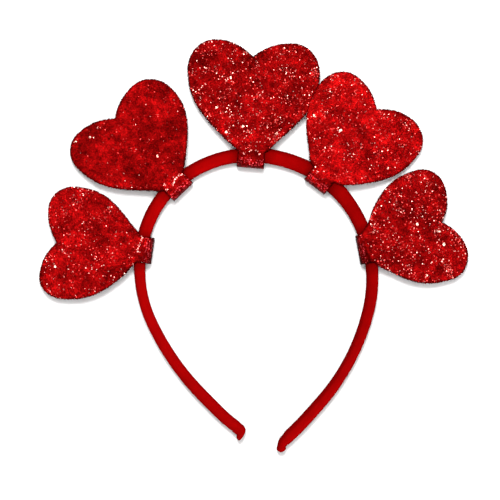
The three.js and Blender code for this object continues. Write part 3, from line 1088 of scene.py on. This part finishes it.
def flakePiece(name, co, colour, isSpark):
    count = len(co)
    corners = flakes["corners"]
    each = corners + 1  # points of a flake, and faces too
    first = np.arange(count)[:, None] * each
    faces = (first + np.arange(corners)).tolist()
    for k in range(corners):
        faces += (first + np.array([(k + 1) % corners, k, corners])).tolist()  # one side of every flake
    mesh = bpy.data.meshes.new(name)
    mesh.from_pydata(co.reshape(-1, 3) * mm, [], faces)
    mesh.update()
    rgba = np.column_stack([colour, np.ones(count)]).repeat(each, 0)
    attribute = mesh.attributes.new("flakeColour", "FLOAT_COLOR", "POINT")
    attribute.data.foreach_set("color", rgba.astype(np.float32).ravel())
    mesh.materials.append(flakeFinish)
    mesh.materials.append(sparkFinish)
    mesh.polygons.foreach_set("material_index", np.tile(isSpark.astype(np.int32), each))
    piece = bpy.data.objects.new(name, mesh)
    bpy.context.scene.collection.objects.link(piece)
    return piece


def makeGlitter(name, heart, index):
    rng = np.random.default_rng(flakes["seed"] + index)
    spots, up, glintCount = flakeSpots(heart, rng)
    glints = slice(0, glintCount)
    clumps = slice(sum(number for start, end, number in heart["glints"]), glintCount)
    onEdge = up[:, 2] < flakes["nearlyAll"]
    kinds = sortFlakes(heart, spots, onEdge, glints, rng)
    size = flakeSizes(kinds, glints, clumps, rng)
    lean, lift = flakeLean(kinds, onEdge, glints, rng)
    at, normal, sideways, forward = sheetDirections(heart, spots, up)
    tilted, sideways, forward = tiltFlakes(normal, sideways, forward, kinds["spark"], lean)
    co = flakePoints(at + normal * lift[:, None], tilted, sideways, forward, size, rng)
    colour = flakeColours(heart, spots, onEdge, kinds, glints, clumps, rng)
    piece = flakePiece(name + "_glitter", co, colour, kinds["spark"])
    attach(piece, "root")
    print(name, "flakes", len(spots))
    return piece


for index, (name, heart) in enumerate(hearts.items()):
    foamPiece = makeHeart(name, heart)
    glitterPiece = makeGlitter(name, heart, index)
print("hearts folded on")


# Floor, light and camera
studio = {
    "floorSide": 6.0,
    "floorColour": (0.95, 0.95, 0.95),
    "floorPatch": {"Size": 180.0, "Strength": 0.01},
    "floorFinish": {"Roughness": 0.9, "Specular IOR Level": 0.0},
    "overhead": 6.0,
    "glowFrom": 0.9,  # the overhead glow starts at this height, where 1 is straight up
    "horizon": 0.2,
    "lean": (0.22, -0.15, 0.0),  # the room is brighter on this side
    "keyPower": 17.0,
    "keySize": 0.3,
    "keyFrom": (-0.05, 0.43, 1.3),
    "eye": (-0.00196, -0.00206, 1.2),
    "seen": 0.25,  # width of the picture at the object's height
    "level": 0.006,
    "sensor": 36,
}


def makeFloor():
    bpy.ops.mesh.primitive_plane_add(size=studio["floorSide"])
    floor = added("floor")
    material, tree, shader = newMaterial("pale_floor")
    patches = useGroup(tree, patchesGroup, studio["floorPatch"])
    colour = shaded(tree, studio["floorColour"], [patches.outputs["Shade"]])
    setInputs(tree, shader, {"Base Color": colour, **studio["floorFinish"]})
    floor.data.materials.append(material)


def makeLight():
    scene = bpy.context.scene
    world = bpy.data.worlds.new("soft_room")
    scene.world = world
    world.use_nodes = True
    tree = world.node_tree
    background = tree.nodes["Background"]
    direction = addNode(tree, "ShaderNodeTexCoord").outputs["Generated"]
    parts = addNode(tree, "ShaderNodeSeparateXYZ", {0: direction})
    fade = addNode(tree, "ShaderNodeMapRange", {
        "Value": parts.outputs["Z"], "From Min": studio["glowFrom"], "To Min": studio["horizon"],
        "To Max": studio["overhead"]})
    lean = addNode(tree, "ShaderNodeVectorMath", {0: direction, 1: studio["lean"]}, operation="DOT_PRODUCT")
    strength = calculate(tree, "ADD", fade.outputs["Result"], lean.outputs["Value"])
    setInputs(tree, background, {"Strength": strength, "Color": (1, 1, 1, 1)})
    bpy.ops.object.light_add(type="AREA", location=studio["keyFrom"])
    key = added("key_light")
    key.data.size = studio["keySize"]
    key.data.energy = studio["keyPower"]
    aim = -key.location
    key.rotation_euler = aim.to_track_quat("-Z", "Y").to_euler()
    scene.view_settings.view_transform = "Standard"


def makeCamera():
    bpy.ops.object.camera_add(location=studio["eye"], rotation=(0, 0, 0))
    camera = added("camera")
    camera.data.sensor_width = studio["sensor"]
    camera.data.lens = studio["sensor"] * (studio["eye"][2] - studio["level"]) / studio["seen"]
    bpy.context.scene.camera = camera


makeFloor()
makeLight()
makeCamera()
print("floor, light and camera set")
